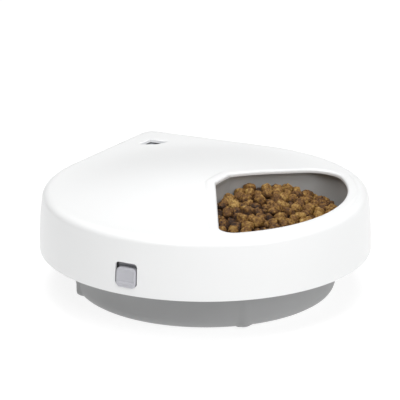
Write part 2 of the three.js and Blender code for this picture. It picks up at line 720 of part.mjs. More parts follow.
function makeTimer() {
  const shell = timerOutline(0).intersect(block([-100, 100, TIMER.bottom], [100, 200, TIMER.top]));
  const hollow = timerOutline(TIMER.wall).intersect(
    block([-100, 100, 0], [100, 200, TIMER.top - TIMER.wall]),
  );
  let housing = cut(shell, hollow);
  for (const [x, y] of TIMER_SCREWS) {
    housing = join(housing, disc(4.2, TIMER.bottom, 60, x, y, 16));
    housing = cut(housing, disc(1.8, TIMER.bottom - 1, 56, x, y, 12));
  }
  for (const [x, y] of Object.values(KEYS)) {
    housing = cut(housing, disc(4.7, TIMER.top - 4, TIMER.top + 1, x, y, 20));
  }
  housing = cut(housing, prism(kite(-2.2), TIMER.top - 4, TIMER.top + 1));
  piece('timer_housing', housing, 'grey');
  piece('display_lens', prism(kite(-0.5), TIMER.top + GAP, TIMER.top + LENS_TOP), 'lens');
  const { x, y } = DISPLAY;
  const panel = block([x - 9, y - 5, BOARD_TOP + GAP], [x + 9, y + 6, TIMER.top - 2.4]);
  piece('display_panel', panel, 'black');
  const boardEdge = timerOutline(TIMER.wall + 0.6);
  let board = boardEdge.intersect(block([-42, 100, BOARD_BOTTOM], [42, 200, BOARD_TOP]));
  for (const [kx, ky] of Object.values(KEYS)) {
    board = join(board, block([kx - 3, ky - 3, BOARD_TOP - 0.5], [kx + 3, ky + 3, 78]));
  }
  piece('timer_board', board, 'board');
  for (const [name, [kx, ky]] of Object.entries(KEYS)) {
    const key = turned([[0, 79.2], [2, 79.2], [2, 81.5], [5.4, 81.5], [5.4, 83.6], [4.4, 83.6],
      [4.4, 86.4], [3.7, 87.1], [0, 87.1]], 20, kx, ky);
    piece(`key_${name}`, key, 'latchGrey');
  }
  TIMER_SCREWS.forEach(([sx, sy], i) => {
    const screw = join(
      disc(SCREW.head, 38.2, BASE_TOP - FLANGE - GAP, sx, sy, 16),
      disc(SCREW.shank, 39, 55, sx, sy, 12),
    );
    piece(`timer_screw_${i + 1}`, screw, 'steel');
  });
}

// The lead from the motor and the batteries up to the timer board.
function makeLead() {
  const route = new THREE.CatmullRomCurve3([
    new THREE.Vector3(-44, -1.5, 10.5),
    new THREE.Vector3(-52, 20, 9),
    new THREE.Vector3(-52, 55, 8.5),
    new THREE.Vector3(-46, 92, 8.5),
    new THREE.Vector3(-35, 117, 16),
    new THREE.Vector3(-26, 132, 30),
    new THREE.Vector3(-20, 142, 42),
    new THREE.Vector3(-18, 146.5, 57),
    new THREE.Vector3(-18, 149, 72.2),
  ]);
  const section = new THREE.Shape(arcPoints(0, 0, 1.8, 0, 315, 7));
  const geometry = new THREE.ExtrudeGeometry(section, { steps: 22, extrudePath: route });
  piece('timer_lead', solid(geometry), 'black');
}

makeLid();
Object.entries(LATCH_BEARINGS).forEach(([side, bearing]) => makeLatch(side, bearing));
makeBase();
makeDeck();
icePack('ice_pack_left', 100, 260);
icePack('ice_pack_right', -80, 80);
makeBowl();
makeGears();
makeDrive();
makeBatteries();
makeTimer();
makeLead();

export default group;
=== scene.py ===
"""Automatic pet feeder: fine surfaces, materials, food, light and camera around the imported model."""

import json
import math
import random

import bmesh
import bpy
import numpy as np
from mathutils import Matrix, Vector, noise
from mathutils.geometry import delaunay_2d_cdt


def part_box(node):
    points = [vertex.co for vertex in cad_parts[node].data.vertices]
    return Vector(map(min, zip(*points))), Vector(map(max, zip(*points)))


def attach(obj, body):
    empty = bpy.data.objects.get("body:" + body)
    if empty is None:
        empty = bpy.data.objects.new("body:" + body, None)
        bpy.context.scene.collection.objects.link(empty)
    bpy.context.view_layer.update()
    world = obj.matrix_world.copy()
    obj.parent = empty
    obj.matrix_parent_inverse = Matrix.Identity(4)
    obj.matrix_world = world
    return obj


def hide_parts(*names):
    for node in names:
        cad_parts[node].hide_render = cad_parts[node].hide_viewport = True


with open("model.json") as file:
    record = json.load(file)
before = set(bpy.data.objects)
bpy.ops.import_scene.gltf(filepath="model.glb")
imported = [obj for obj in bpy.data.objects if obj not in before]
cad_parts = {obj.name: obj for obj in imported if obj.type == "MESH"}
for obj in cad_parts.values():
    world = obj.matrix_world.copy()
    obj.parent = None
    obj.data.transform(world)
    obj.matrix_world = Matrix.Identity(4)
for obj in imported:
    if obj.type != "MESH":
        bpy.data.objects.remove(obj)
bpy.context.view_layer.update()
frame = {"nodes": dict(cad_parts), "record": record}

MM = 0.001

# ---------------------------------------------------------------- sizes, in millimetres
LID_LOW, LID_HIGH = (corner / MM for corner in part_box("lid"))
BASE_LOW, BASE_HIGH = (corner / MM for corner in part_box("base_pan"))
BOWL_TOP = (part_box("bowl")[1] / MM).z

SKIRT_RADIUS = 150.0
AXIS_Y = LID_LOW.y + SKIRT_RADIUS       # the bowl turns about x = 0, y = AXIS_Y
SKIRT_BOTTOM = LID_LOW.z
DOME = 12.3
LID_EDGE = LID_HIGH.z - DOME            # height of the lid's flat top edge
TOP_RADIUS = 138.5
SHOULDER = 7.5
LID_WALL = 2.4
FRAME_WIDTH = 7.4                       # flat raised band round the serving opening
FRAME_RISE = 0.6
FRAME_SLOPE = 2.4                       # the band's outer slope
LIP = 3.0                               # an opening's lip hangs this far below the lid's face
SEAT_OUTER, SEAT_INNER = 139.5, 137.5   # the ring inside the lid that sits over the base's rim
LID_TIP = (176.0, 131.5)                # corner arc: distance from the axis, radius less this
BASE_TIP = (150.0, 106.0)

SERVING_BEARING = -46.0
BOWL_RADIUS = 134.5
BOWL_DOME = 11.6
BOWL_RIM = BOWL_TOP - BOWL_DOME
BOWL_FLOOR = 46.5
BOWL_SHEET = 1.3                        # wall thickness
POCKET_DRAFT = 7.0
POCKET_RADIUS = 131.0                   # a compartment's outer wall, at the rim
POCKET_GAP = 5.0                        # half the divider between two compartments
POCKET_CHORD = 15.5                     # a compartment's wall by the hub, from the bowl's axis

BASE_BOTTOM = BASE_LOW.z
FLANGE_TOP = 43.0
RIM_TOP = BASE_HIGH.z
FOOT_PLAY = 0.4                         # gap between a foot and its recess
FOOT_RECESS = 0.8
HATCH_HALF_WIDTH, HATCH_PLAY = 26.0, 0.5
HATCH_PIVOT_HALF_WIDTH, HATCH_PIVOT_DEPTH = 29.6, 3.4

LATCH_BEARINGS = {"left": 226.15, "right": 46.15}
LATCH_WINDOW = (10.6, 47.9, 68.6, 3.4)  # half width, bottom, top and corner of the skirt's window
LUG_OFFSET = 12.2                       # the lugs that hold a latch's pin stand this far aside
LUG_SIZE = (1.2, 52.5, 60, 0.8)         # half width, bottom, top and corner
LUG_INNER, LUG_OUTER = 141.4, 147.6     # distance from the bowl's axis


def place(x, y, z):
    """Millimetres about the bowl's axis to metres in the shared frame."""
    return Vector((x * MM, (y + AXIS_Y) * MM, z * MM))


def polar(radius, degrees):
    angle = math.radians(degrees)
    return np.array([radius * math.cos(angle), radius * math.sin(angle)])


# ---------------------------------------------------------------- outlines
class Teardrop:
    """A circle drawn out to a rounded corner at +Y. A point is base(q) + radius * outward(q)."""

    CORNER, SIDE = 20, 22

    def __init__(self, tip, round_steps=152):
        self.centre, self.less = tip
        self.ROUND = round_steps
        self.COUNT = self.CORNER + 2 * self.SIDE + round_steps
        self.half = math.degrees(math.asin(self.less / self.centre))

    def at(self, q):
        q = q % self.COUNT
        corner_end = self.CORNER
        round_start = corner_end + self.SIDE
        round_end = round_start + self.ROUND
        if q <= corner_end:
            degrees = self.half + (180 - 2 * self.half) * q / self.CORNER
            reach = 1.0
        elif q < round_start:
            degrees = 180 - self.half
            reach = 1 - (q - corner_end) / self.SIDE
        elif q <= round_end:
            degrees = 180 - self.half + (180 + 2 * self.half) * (q - round_start) / self.ROUND
            reach = 0.0
        else:
            degrees = self.half
            reach = (q - round_end) / self.SIDE
        outward = polar(1, degrees)
        base = reach * (np.array([0, self.centre]) - self.less * outward)
        return base, outward

    def ring(self, radius):
        return [base + radius * outward for base, outward in map(self.at, range(self.COUNT))]

    def step_at(self, bearing):
        """The q of a bearing on the round part."""
        turn = (bearing - (180 - self.half)) % 360
        return self.CORNER + self.SIDE + self.ROUND * turn / (180 + 2 * self.half)


LID_OUTLINE = Teardrop(LID_TIP)
BASE_OUTLINE = Teardrop(BASE_TIP, 400)
FLANGE_OUTLINE = Teardrop(LID_TIP, 400)


def arc(x, y, radius, start, end, steps):
    return [
        np.array([x, y]) + polar(radius, start + (end - start) * i / steps)
        for i in range(steps + 1)
    ]


def sector(half_angle, inset, chord, outer, corners, hub_round, bearing, steps=14):
    """Straight edges set in from two radii, a chord near the hub and an outer arc."""
    half = math.radians(half_angle)
    chord_y = chord * math.tan(half) - inset / math.cos(half)
    # The hub corner is rounded between the chord and the straight edge.
    cut = hub_round * math.tan((math.pi / 2 - half) / 2)
    sides = []
    for corner in corners:
        middle = half - math.asin((inset + corner) / (outer - corner))
        x, y = (outer - corner) * math.cos(middle), (outer - corner) * math.sin(middle)
        bend = arc(x, -y, corner, -half_angle - 90, -math.degrees(middle), steps)
        hub = arc(chord + hub_round, cut - chord_y, hub_round, -180, -half_angle - 90, 6)
        edge = [hub[-1] + (bend[0] - hub[-1]) * i / steps for i in range(1, steps)]
        sides.append((hub + edge + bend, math.degrees(middle)))
    (near, start), (far, end) = sides
    outer_arc = arc(0, 0, outer, -start, end, 3 * steps)
    mirrored = [np.array([p[0], -p[1]]) for p in reversed(far)]
    gap = mirrored[-1] - near[0]
    hub_line = [mirrored[-1] - gap * i / 7 for i in range(1, 7)]
    turn = math.radians(bearing)
    rotate = np.array([[math.cos(turn), -math.sin(turn)], [math.sin(turn), math.cos(turn)]])
    return [rotate @ p for p in near + outer_arc[1:-1] + mirrored + hub_line]


def serving_outline(grow):
    return sector(59.5, 8.5 - grow, 17.8 - grow, 127.8 + grow, (12.5 + grow, 23 + grow),
                  3 + grow, SERVING_BEARING)


def pocket_outline(bearing, inset):
    return sector(60, POCKET_GAP + inset, POCKET_CHORD + 0.8 * inset, POCKET_RADIUS - 0.8 * inset,
                  (20, 20), 7, bearing)


def display_outline(grow):
    """The display window: a kite with its long point to the lid's tip."""
    x, y, half_width, to_tip, to_bowl = -7.0, 146.0, 15.0, 12.0, 5.4
    corners = [(x + half_width, y), (x, y + to_tip), (x - half_width, y), (x, y - to_bowl)]
    corners = [np.array(c) for c in corners]
    round_radius = 1.2
    points = []
    for i, corner in enumerate(corners):
        before = corners[i - 1] - corner
        after = corners[(i + 1) % 4] - corner
        before /= np.linalg.norm(before)
        after /= np.linalg.norm(after)
        inward = before + after
        inward /= np.linalg.norm(inward)
        half = math.acos(float(before @ after)) / 2
        centre = corner + inward * round_radius / math.sin(half)
        facing_out = math.degrees(math.atan2(-inward[1], -inward[0]))
        spread_angle = 90 - math.degrees(half)
        points += arc(*centre, round_radius + grow, facing_out - spread_angle,
                      facing_out + spread_angle, 6)
    return points


def rounded_rectangle(half_width, bottom, top, corner, grow=0.0, steps=6):
    radius = corner + grow
    x = half_width - corner
    centres = [(x, bottom + corner), (x, top - corner), (-x, top - corner), (-x, bottom + corner)]
    points = []
    for i, (cx, cy) in enumerate(centres):
        points += arc(cx, cy, radius, -90 + 90 * i, 90 * i, steps)
    return points


def inside(point, outline):
    x, y = point
    hit = False
    previous = outline[-1]
    for current in outline:
        if (current[1] > y) != (previous[1] > y):
            cross = previous[0] + (y - previous[1]) / (current[1] - previous[1]) * (
                current[0] - previous[0]
            )
            if x < cross:
                hit = not hit
        previous = current
    return hit


# ---------------------------------------------------------------- mesh helpers
SLIVER = 0.004      # a triangle of less than half this area, in square millimetres, is dropped


class Skin:
    """Vertices in millimetres about the axis, and faces."""

    def __init__(self):
        self.points = []
        self.faces = []

    def add(self, points, faces, flip=False):
        start = len(self.points)
        self.points += [tuple(p) for p in points]
        for face in faces:
            ids = [start + i for i in face]
            self.faces.append(ids[::-1] if flip else ids)

    def loft(self, rings, flip=False):
        count = len(rings[0])
        faces = []
        for level in range(len(rings) - 1):
            low, high = level * count, (level + 1) * count
            for i in range(count):
                j = (i + 1) % count
                faces.append((low + i, low + j, high + j, high + i))
        self.add([p for ring in rings for p in ring], faces, flip)

    def patch(self, outer, holes, extra, lift):
        """Fills a flat region between outlines, through extra loops, and lifts it to 3-D.

        An extra loop comes with True if its sides are edges, or False if only its points count.
        """
        points = []
        edges = []
        outlines = [(loop, True) for loop in (outer, *holes)]
        for loop, closed in outlines + extra:
            start = len(points)
            points += [Vector(p) for p in loop]
            if closed:
                edges += [(start + i, start + (i + 1) % len(loop)) for i in range(len(loop))]
        made = delaunay_2d_cdt(points, edges, [], 0, 1e-6)
        flat, faces = made[0], made[2]
        kept = []
        for face in faces:
            middle = sum((flat[i] for i in face), Vector((0, 0))) / len(face)
            a, b, c = (flat[i] for i in face[:3])
            if abs((b - a).cross(c - a)) < SLIVER:
                continue
            if not inside(middle, outer) or any(inside(middle, hole) for hole in holes):
                continue
            kept.append(face)
        self.add([lift(p[0], p[1]) for p in flat], kept)

    def build(self, name, sharp=None):
        mesh = bpy.data.meshes.new(name)
        mesh.from_pydata([place(*p) for p in self.points], [], self.faces)
        work = bmesh.new()
        work.from_mesh(mesh)
        bmesh.ops.remove_doubles(work, verts=work.verts, dist=2e-5)
        loose = [v for v in work.verts if not v.link_faces]
        bmesh.ops.delete(work, geom=loose, context="VERTS")
        work.to_mesh(mesh)
        work.free()
        mesh.shade_smooth()
        if sharp:
            mesh.set_sharp_from_angle(angle=math.radians(sharp))
        made = bpy.data.objects.new(name, mesh)
        bpy.context.scene.collection.objects.link(made)
        return made


def outward_faces(obj):
    work = bmesh.new()
    work.from_mesh(obj.data)
    bmesh.ops.recalc_face_normals(work, faces=work.faces)
    work.to_mesh(obj.data)
    work.free()


def modifier(obj, name, kind, **settings):
    made = obj.modifiers.new(name, kind)
    for key, value in settings.items():
        setattr(made, key, value)
    return made


def soften(obj, width, segments=2, angle=38):
    modifier(
        obj, "edges", "BEVEL", width=width * MM, segments=segments, limit_method="ANGLE",
        angle_limit=math.radians(angle), harden_normals=True, miter_outer="MITER_ARC",
    )


def cut_away(obj, cutters):
    """Cuts closed objects out of obj for good."""
    for cutter in cutters:
        modifier(obj, "cut", "BOOLEAN", object=cutter, operation="DIFFERENCE", solver="EXACT")
        bpy.context.view_layer.objects.active = obj
        bpy.ops.object.modifier_apply(modifier="cut")
        bpy.data.objects.remove(cutter)


def plug_shape(name, outline, low, high, up=None):
    """A closed prism over an outline; up turns (x, y, height) into a place."""
    skin = Skin()
    lift = up or (lambda x, y, z: (x, y, z))
    rings = [[lift(p[0], p[1], z) for p in outline] for z in (low, high)]
    skin.loft(rings)
    count = len(outline)
    skin.add(rings[0], [tuple(range(count))], flip=True)
    skin.add(rings[1], [tuple(range(count))])
    made = skin.build(name)
    outward_faces(made)
    return made


# ---------------------------------------------------------------- materials
def node_tree(name):
    material = bpy.data.materials.new(name)
    material.use_nodes = True
    tree = material.node_tree
    return material, tree, tree.nodes["Principled BSDF"]


def add(tree, kind, **inputs):
    node = tree.nodes.new(kind)
    for key, value in inputs.items():
        node.inputs[key.replace("_", " ")].default_value = value
    return node


def noise_at(tree, scale, detail=3.0, roughness=0.55, stretch=None):
    where = tree.nodes.new("ShaderNodeTexCoord")
    texture = add(tree, "ShaderNodeTexNoise", Scale=scale, Detail=detail, Roughness=roughness)
    source = where.outputs["Object"]
    if stretch:
        mapping = add(tree, "ShaderNodeMapping", Scale=stretch)
        tree.links.new(source, mapping.inputs["Vector"])
        source = mapping.outputs["Vector"]
    tree.links.new(source, texture.inputs["Vector"])
    return texture.outputs["Fac"]


def ramp(tree, source, *stops):
    node = tree.nodes.new("ShaderNodeValToRGB")
    elements = node.color_ramp.elements
    while len(elements) < len(stops):
        elements.new(0.5)
    for element, (position, colour) in zip(elements, stops):
        element.position = position
        element.color = (*colour, 1)
    tree.links.new(source, node.inputs["Fac"])
    return node.outputs["Color"]


def spread(tree, source, low, high):
    node = add(tree, "ShaderNodeMapRange", To_Min=low, To_Max=high)
    tree.links.new(source, node.inputs["Value"])
    return node.outputs["Result"]


def bump(tree, bsdf, *layers):
    """Stacks bump layers of (height, strength, distance in millimetres)."""
    normal = None
    for height, strength, distance in layers:
        node = add(tree, "ShaderNodeBump", Strength=strength, Distance=distance * MM)
        tree.links.new(height, node.inputs["Height"])
        if normal:
            tree.links.new(normal, node.inputs["Normal"])
        normal = node.outputs["Normal"]
    tree.links.new(normal, bsdf.inputs["Normal"])


def shade(colour, factor):
    return tuple(min(1.0, c * factor) for c in colour)


def moulded(name, colour, rough, mottle, grain=(900, 0.15, 0.02), **sockets):
    """Moulded plastic: faint cloudiness, uneven gloss and a grain of (scale, strength, depth)."""
    material, tree, bsdf = node_tree(name)
    cloud = noise_at(tree, 18, 4)
    tone = ramp(tree, cloud, (0.3, shade(colour, 1 - mottle)), (0.7, shade(colour, 1 + mottle)))
    tree.links.new(tone, bsdf.inputs["Base Color"])
    wipe = noise_at(tree, 60, 5, 0.6)
    tree.links.new(spread(tree, wipe, *rough), bsdf.inputs["Roughness"])
    scale, strength, depth = grain
    bump(tree, bsdf, (noise_at(tree, scale, 4, 0.6), strength, depth))
    for key, value in sockets.items():
        bsdf.inputs[key.replace("_", " ")].default_value = value
    return material


def metal(name, colour, rough, stretch):
    """Plated or turned metal with fine drawn lines."""
    material, tree, bsdf = node_tree(name)
    lines = noise_at(tree, 300, 4, 0.6, stretch)
    tone = ramp(tree, lines, (0.35, shade(colour, 0.86)), (0.7, colour))
    tree.links.new(tone, bsdf.inputs["Base Color"])
    tree.links.new(spread(tree, lines, *rough), bsdf.inputs["Roughness"])
    bump(tree, bsdf, (lines, 0.15, 0.02))
    bsdf.inputs["Metallic"].default_value = 1.0
    return material


def kibble_material():
    """Baked food: every piece has its own tone, painted shade lower down in the heap, darker pits and
    a rough crumb.
    """
    material, tree, bsdf = node_tree("kibble_crust")
    # The tone attribute holds each piece's own tone and the painted shade lower down in the heap.
    own = tree.nodes.new("ShaderNodeAttribute")
    own.attribute_name = "tone"
    blotch = noise_at(tree, 380, 6, 0.68)
    mixed = tree.nodes.new("ShaderNodeMath")
    mixed.operation = "MULTIPLY_ADD"
    mixed.inputs[1].default_value = 0.9
    tree.links.new(blotch, mixed.inputs[0])
    offset = spread(tree, own.outputs["Fac"], -0.34, 0.12)
    tree.links.new(offset, mixed.inputs[2])
    # The darkest stops colour the painted shade low in the heap as well as the crust's dark pits.
    stops = [(0.3, (0.03, 0.011, 0.003)), (0.42, (0.14, 0.06, 0.012))]
    stops += [(0.54, (0.29, 0.155, 0.034)), (0.72, (0.6, 0.4, 0.13))]
    tree.links.new(ramp(tree, mixed.outputs[0], *stops), bsdf.inputs["Base Color"])
    tree.links.new(spread(tree, blotch, 0.75, 0.45), bsdf.inputs["Roughness"])
    crumb = noise_at(tree, 900, 6, 0.7)
    bump(tree, bsdf, (blotch, 1.0, 1.4), (crumb, 0.9, 0.5))
    bsdf.inputs["Specular IOR Level"].default_value = 0.35
    return material


def make_materials():
    white = (0.86, 0.865, 0.865)
    grey = (0.328, 0.33, 0.332)
    made = {
        "white_shell": moulded(
            "white_gloss", white, (0.32, 0.36), 0.004, (700, 0.03, 0.02),
            Coat_Weight=0.2, Coat_Roughness=0.2,
        ),
        "grey_shell": moulded("grey_textured", grey, (0.46, 0.6), 0.035, (1400, 0.35, 0.05)),
        # The bowl uses a paler copy of the base's grey plastic: painted light, lifting its walls in
        # the shade under the lid.
        "bowl_grey_lightened": moulded("bowl_lightened_textured", (0.405, 0.405, 0.4), (0.42, 0.56), 0.035,
                             (1400, 0.35, 0.05)),
        "latch_grey": moulded("latch_satin", (0.49, 0.49, 0.525), (0.38, 0.5), 0.02,
                              (1200, 0.2, 0.03)),
        "black_plastic": moulded("black_moulded", (0.03, 0.03, 0.033), (0.4, 0.55), 0.05),
        "nylon": moulded("natural_nylon", (0.78, 0.74, 0.62), (0.35, 0.5), 0.03),
        "rubber": moulded("foot_rubber", (0.045, 0.046, 0.05), (0.75, 0.92), 0.12,
                          (1100, 0.5, 0.06)),
        "ice": moulded("freezer_pack", (0.16, 0.34, 0.66), (0.2, 0.34), 0.06, (300, 0.2, 0.1),
                       Coat_Weight=0.3),
        "board": moulded("solder_mask", (0.03, 0.2, 0.085), (0.3, 0.5), 0.1, (500, 0.3, 0.04)),
        "lens": moulded("display_window", (0.62, 0.64, 0.68), (0.04, 0.08), 0.01,
                        (300, 0.02, 0.01), Coat_Weight=0.6, Coat_Roughness=0.03),
        "cell": moulded("cell_jacket", (0.03, 0.033, 0.04), (0.2, 0.32), 0.05, Metallic=0.5),
        "steel": metal("zinc_plate", (0.66, 0.67, 0.68), (0.22, 0.38), (1, 1, 0.05)),
        "brass": metal("bright_brass", (0.78, 0.58, 0.25), (0.2, 0.34), (1, 0.05, 1)),
        "kibble": kibble_material(),
    }
    return made


MATERIALS = make_materials()


def finish_piece(obj, slot, body, *nodes, finish=None):
    """Gives a piece its material and its body, and hides the nodes it stands for; finish is another
    look.
    """
    obj.data.materials.clear()
    obj.data.materials.append(MATERIALS[finish or slot])
    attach(obj, body)
    if nodes:
        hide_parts(*nodes)


def dress_cad_nodes():
    slots = {part["node"]: part["material_slot"] for part in frame["record"]["subparts"]}
    for name, obj in frame["nodes"].items():
        obj.data.materials.clear()
        obj.data.materials.append(MATERIALS[slots[name]])
        obj.data.shade_smooth()
        obj.data.set_sharp_from_angle(angle=math.radians(32))


# ---------------------------------------------------------------- lid
def lid_height(x, y):
    share = min(1.0, math.hypot(x, y) / TOP_RADIUS)
    return LID_EDGE + (DOME - FRAME_RISE) * (1 - share * share) ** 2


# A quarter circle of radius 1: distance from the opening's wall, and depth.
EDGE_ROLL = [
    (1 - math.sin(math.radians(15 * i)), 1 - math.cos(math.radians(15 * i))) for i in range(7)
]


def smooth(share):
    share = min(1.0, max(0.0, share))
    return share * share * (3 - 2 * share)


class OpeningEdge:
    """The rings round an opening in the lid: a raised band if it has one, a rolled edge, a lip."""

    def __init__(self, outline, roll, band=0.0, rise=0.0):
        self.outline = outline
        self.roll = roll
        self.band = band
        self.rise = rise

    def ring(self, grow, fall):
        return [(p[0], p[1], lid_height(*p) - fall) for p in self.outline(grow)]

    def add_to(self, skin):
        """Adds the rings from the flat surface inward; returns the outermost outline."""
        rings = []
        outermost = self.roll
        if self.band:
            outermost = self.band + FRAME_SLOPE
            for i in range(7):
                grow = outermost - FRAME_SLOPE * i / 6
                rings.append(self.ring(grow, -self.rise * smooth(i / 6)))
            rings.append(self.ring((self.band + self.roll) / 2, -self.rise))
        rings += [self.ring(self.roll * x, self.roll * z - self.rise) for x, z in EDGE_ROLL]
        rings.append(self.ring(0.0, LIP))
        skin.loft(rings)
        return self.outline(outermost)


def lid_top(skin):
    edge = LID_OUTLINE.ring(TOP_RADIUS)
    serving = OpeningEdge(serving_outline, 2.4, FRAME_WIDTH, FRAME_RISE).add_to(skin)
    window = OpeningEdge(display_outline, 0.9).add_to(skin)
    extra = []
    for share in np.linspace(0.04, 0.975, 30):
        loop = [p * share for p in edge]
        stride = max(1, int(round(0.55 / share)))
        kept = [
            p for p in loop[::stride]
            if not inside(p, serving) and not inside(p, window)
        ]
        extra.append((kept, False))
    extra.append(([(0.0, 0.0)], False))
    skin.patch(edge, [serving, window], extra, lambda x, y: (x, y, lid_height(x, y)))


def shoulder_profile():
    """(radius, height) from the top edge over the shoulder and down the skirt."""
    points = []
    for degrees in range(90, 4, -10):
        turn = math.radians(degrees)
        points.append((
            TOP_RADIUS + 1.15 * SHOULDER * math.cos(turn),
            LID_EDGE - SHOULDER + SHOULDER * math.sin(turn),
        ))
    start_r, start_z = points[-1]
    for i in range(1, 13):
        share = i / 12
        z = start_z + (SKIRT_BOTTOM - start_z) * share
        points.append((start_r + (SKIRT_RADIUS - start_r) * (1 - (1 - share) ** 2.1), z))
    return points


def lid_skirt(skin):
    """The shoulder and skirt as one sheet, unrolled to (along, down) so that windows can be cut."""
    profile = shoulder_profile()
    lengths = [0.0]
    for (r0, z0), (r1, z1) in zip(profile, profile[1:]):
        lengths.append(lengths[-1] + math.hypot(r1 - r0, z1 - z0))
    radii = [r for r, z in profile]
    heights = [z for r, z in profile]
    step_length = math.radians(180 + 2 * LID_OUTLINE.half) * SKIRT_RADIUS / LID_OUTLINE.ROUND

    def lift(u, t):
        base, outward = LID_OUTLINE.at(u / step_length)
        radius = np.interp(-t, lengths, radii)
        spot = base + radius * outward
        return (spot[0], spot[1], np.interp(-t, lengths, heights))

    def down(z):
        return -np.interp(-z, [-h for h in heights], lengths)

    total = LID_OUTLINE.COUNT * step_length
    start = (Teardrop.CORNER + Teardrop.SIDE + LID_OUTLINE.ROUND / 2) * step_length - total / 2
    # The seam lies opposite the front, in the tip, clear of both latch windows.
    columns = [start + i * step_length for i in range(LID_OUTLINE.COUNT + 1)]
    outer = [(u, -lengths[-1]) for u in columns] + [(u, 0.0) for u in reversed(columns)]
    holes = []
    extra = []
    for bearing in LATCH_BEARINGS.values():
        middle = LID_OUTLINE.step_at(bearing) * step_length
        while middle < start:
            middle += total
        while middle > start + total:
            middle -= total
        for grow, is_hole in ((0.0, True), (0.8, False), (2.0, False)):
            loop = [(middle + x, down(z)) for x, z in rounded_rectangle(*LATCH_WINDOW, grow)]
            if is_hole:
                holes.append(loop)
            else:
                extra.append((loop, True))
    near = [loop for loop, closed in extra]
    for length in lengths[1:-1]:
        row = [(u, -length) for u in columns[1:-1]]
        extra.append(([p for p in row if not any(inside(p, loop) for loop in near)], False))
    for length in lengths[1:-1]:
        extra.append(([(columns[0], -length), (columns[-1], -length)], False))
    skin.patch(outer, holes, extra, lift)


def make_lid():
    skin = Skin()
    lid_top(skin)
    lid_skirt(skin)
    lid = skin.build("lid_shell")
    modifier(
        lid, "wall", "SOLIDIFY", thickness=LID_WALL * MM, offset=-1.0,
        use_even_offset=False, use_quality_normals=True,
    )
    soften(lid, 0.45, 2, 50)
    finish_piece(lid, "white_shell", "lid", "lid")


def make_seat_ring():
    low, high = RIM_TOP + 0.3, LID_EDGE - 2.0
    section = [(SEAT_OUTER, high), (SEAT_OUTER, low), (SEAT_INNER, low), (SEAT_INNER, high)]
    skin = Skin()
    skin.loft([[(*p, z) for p in LID_OUTLINE.ring(r)] for r, z in section + section[:1]])
    ring = skin.build("lid_seat_ring", 40)
    outward_faces(ring)
    finish_piece(ring, "white_shell", "lid")


def make_latch_lugs():
    for side, bearing in LATCH_BEARINGS.items():
        for hand, offset in (("a", -LUG_OFFSET), ("b", LUG_OFFSET)):
            outline = rounded_rectangle(*LUG_SIZE, 0, 3)
            upright = facing(bearing, offset)
            lug = plug_shape(f"latch_lug_{side}_{hand}", outline, LUG_INNER, LUG_OUTER, upright)
            lug.data.set_sharp_from_angle(angle=math.radians(40))
            finish_piece(lug, "white_shell", "lid")


def facing(bearing, offset=0.0):
    """Turns (sideways, up, outward) at a bearing into a place about the axis."""
    outward = polar(1, bearing)
    sideways = np.array([-outward[1], outward[0]])

    def lift(x, z, reach):
        spot = outward * reach + sideways * (x + offset)
        return (spot[0], spot[1], z)

    return lift


# ---------------------------------------------------------------- latches
BUTTON_HALF_WIDTH, BUTTON_BOTTOM, BUTTON_TOP, BUTTON_CORNER = 9.4, 46.7, 64.0, 3.8
BUTTON_BACK, BUTTON_FACE = 145.2, 151.6     # distance from the bowl's axis
BUTTON_LEAN = 0.36
BUTTON_LEDGE = 51.6                         # the finger lip runs across below this height
BUTTON_EDGE = 1.3                           # the face is this much smaller than the sides

# Distance from the axis, how much smaller the outline is, and how much higher its lower end is.
# The finger end hangs over the skirt below the window.
BUTTON_LEVELS = [
    (BUTTON_BACK, 0.0, 1.6), (150.05, 0.0, 1.6), (150.1, 0.0, 0.0), (150.6, 0.15, 0.0),
    (151.2, 0.55, 0.0), (BUTTON_FACE, BUTTON_EDGE, 0.0),
]

# The rocker behind a button: (half width, bottom, top, corner), then its two distances.
LEVER_PARTS = {
    "plate": ((8.6, 46.9, 62.6, 1.4), 142.8, 145.4),
    "toe": ((8, 46.6, 48.4, 0.6), 141.4, 145.6),
    "tongue": ((10.2, 60, 68.1, 0.8), 142.0, 143.0),
}


def button_relief(x, z):
    """How far the button's face stands out: a lip and a groove low down, and a dish above them."""
    across = 1 - (x / BUTTON_HALF_WIDTH) ** 2
    middle = (z - BUTTON_LEDGE) / (BUTTON_TOP - BUTTON_LEDGE)
    dish = 0.9 * across * smooth(middle * 3.5) * smooth((1 - middle) * 4)
    lip = 0.75 * math.exp(-((z - BUTTON_LEDGE + 1.2) / 0.75) ** 2)
    groove = 0.55 * math.exp(-((z - BUTTON_LEDGE - 0.5) / 0.5) ** 2)
    fade = smooth((BUTTON_HALF_WIDTH - BUTTON_EDGE - abs(x)) / 1.6)
    fade *= smooth((z - BUTTON_BOTTOM - BUTTON_EDGE) / 1.4)
    fade *= smooth((BUTTON_TOP - BUTTON_EDGE - z) / 1.4)
    return (lip - groove - dish) * fade


